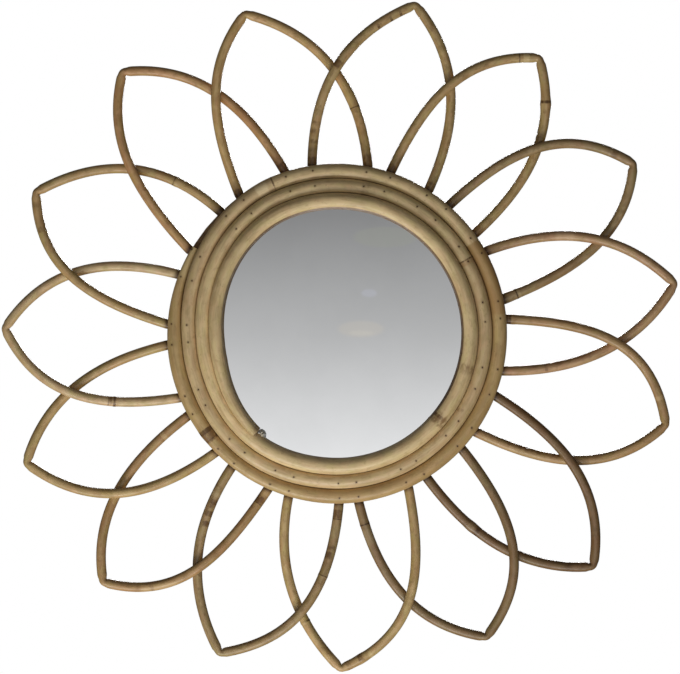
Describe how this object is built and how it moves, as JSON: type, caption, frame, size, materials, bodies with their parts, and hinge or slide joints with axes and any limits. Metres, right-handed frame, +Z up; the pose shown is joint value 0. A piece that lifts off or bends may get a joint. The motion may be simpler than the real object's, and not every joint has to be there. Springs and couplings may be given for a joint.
{
  "type": "wall mirror",
  "caption": "Round wall mirror with a coiled cane rim and folded cane petals all round, like a flower.",
  "frame": {"origin": "middle of the board's flat back, on the wall", "axes": "+Z up, the mirror faces -Y, +Y points into the wall"},
  "size_m": [0.5992, 0.0409, 0.5946],
  "materials": {
    "coiled_ring": "smooth natural cane, satin",
    "mirror_glass": "silvered glass",
    "backing_board": "plain board, matt",
    "petal_01": "smooth natural cane, satin",
    "petal_02": "smooth natural cane, satin",
    "petal_03": "smooth natural cane, satin",
    "petal_04": "smooth natural cane, satin",
    "petal_05": "smooth natural cane, satin",
    "petal_06": "smooth natural cane, satin",
    "petal_07": "smooth natural cane, satin",
    "petal_08": "smooth natural cane, satin",
    "petal_09": "smooth natural cane, satin",
    "petal_10": "smooth natural cane, satin",
    "petal_11": "smooth natural cane, satin",
    "petal_12": "smooth natural cane, satin",
    "petal_13": "smooth natural cane, satin",
    "petal_14": "smooth natural cane, satin",
    "petal_15": "smooth natural cane, satin"
  },
  "bodies": {
    "root": {"coiled_ring": "coiled_ring", "mirror_glass": "mirror_glass", "backing_board": "backing_board", "petal_01": "petal_01", "petal_02": "petal_02", "petal_03": "petal_03", "petal_04": "petal_04", "petal_05": "petal_05", "petal_06": "petal_06", "petal_07": "petal_07", "petal_08": "petal_08", "petal_09": "petal_09", "petal_10": "petal_10", "petal_11": "petal_11", "petal_12": "petal_12", "petal_13": "petal_13", "petal_14": "petal_14", "petal_15": "petal_15"}
  },
  "joints": []
}
